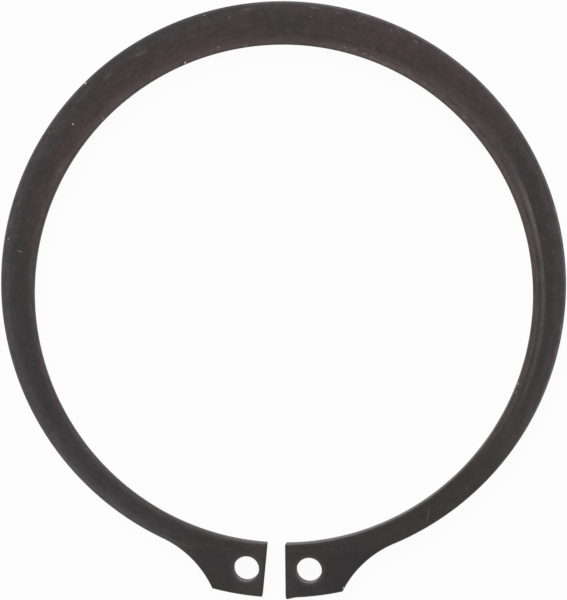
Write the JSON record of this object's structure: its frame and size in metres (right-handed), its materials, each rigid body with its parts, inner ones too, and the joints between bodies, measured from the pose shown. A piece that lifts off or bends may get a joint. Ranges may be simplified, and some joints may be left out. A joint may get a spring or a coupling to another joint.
{
  "type": "external retaining ring",
  "caption": "Open spring-steel ring that tapers from its back to a narrow gap, with a drilled lug on each side of the gap for pliers; snaps into a groove on a shaft.",
  "frame": {"origin": "centre of the bore, on the flat underside that the ring lies on", "axes": "+Z along the bore axis, from the broken lower edges to the rolled upper edges; -Y from the bore centre to the middle of the lugs; +X to the right lug"},
  "size_m": [0.0796, 0.0843, 0.0025],
  "materials": {
    "phosphated_steel": "phosphated and oiled, dark brown-black, satin"
  },
  "bodies": {
    "root": {"retaining_ring": "phosphated_steel"}
  },
  "joints": []
}
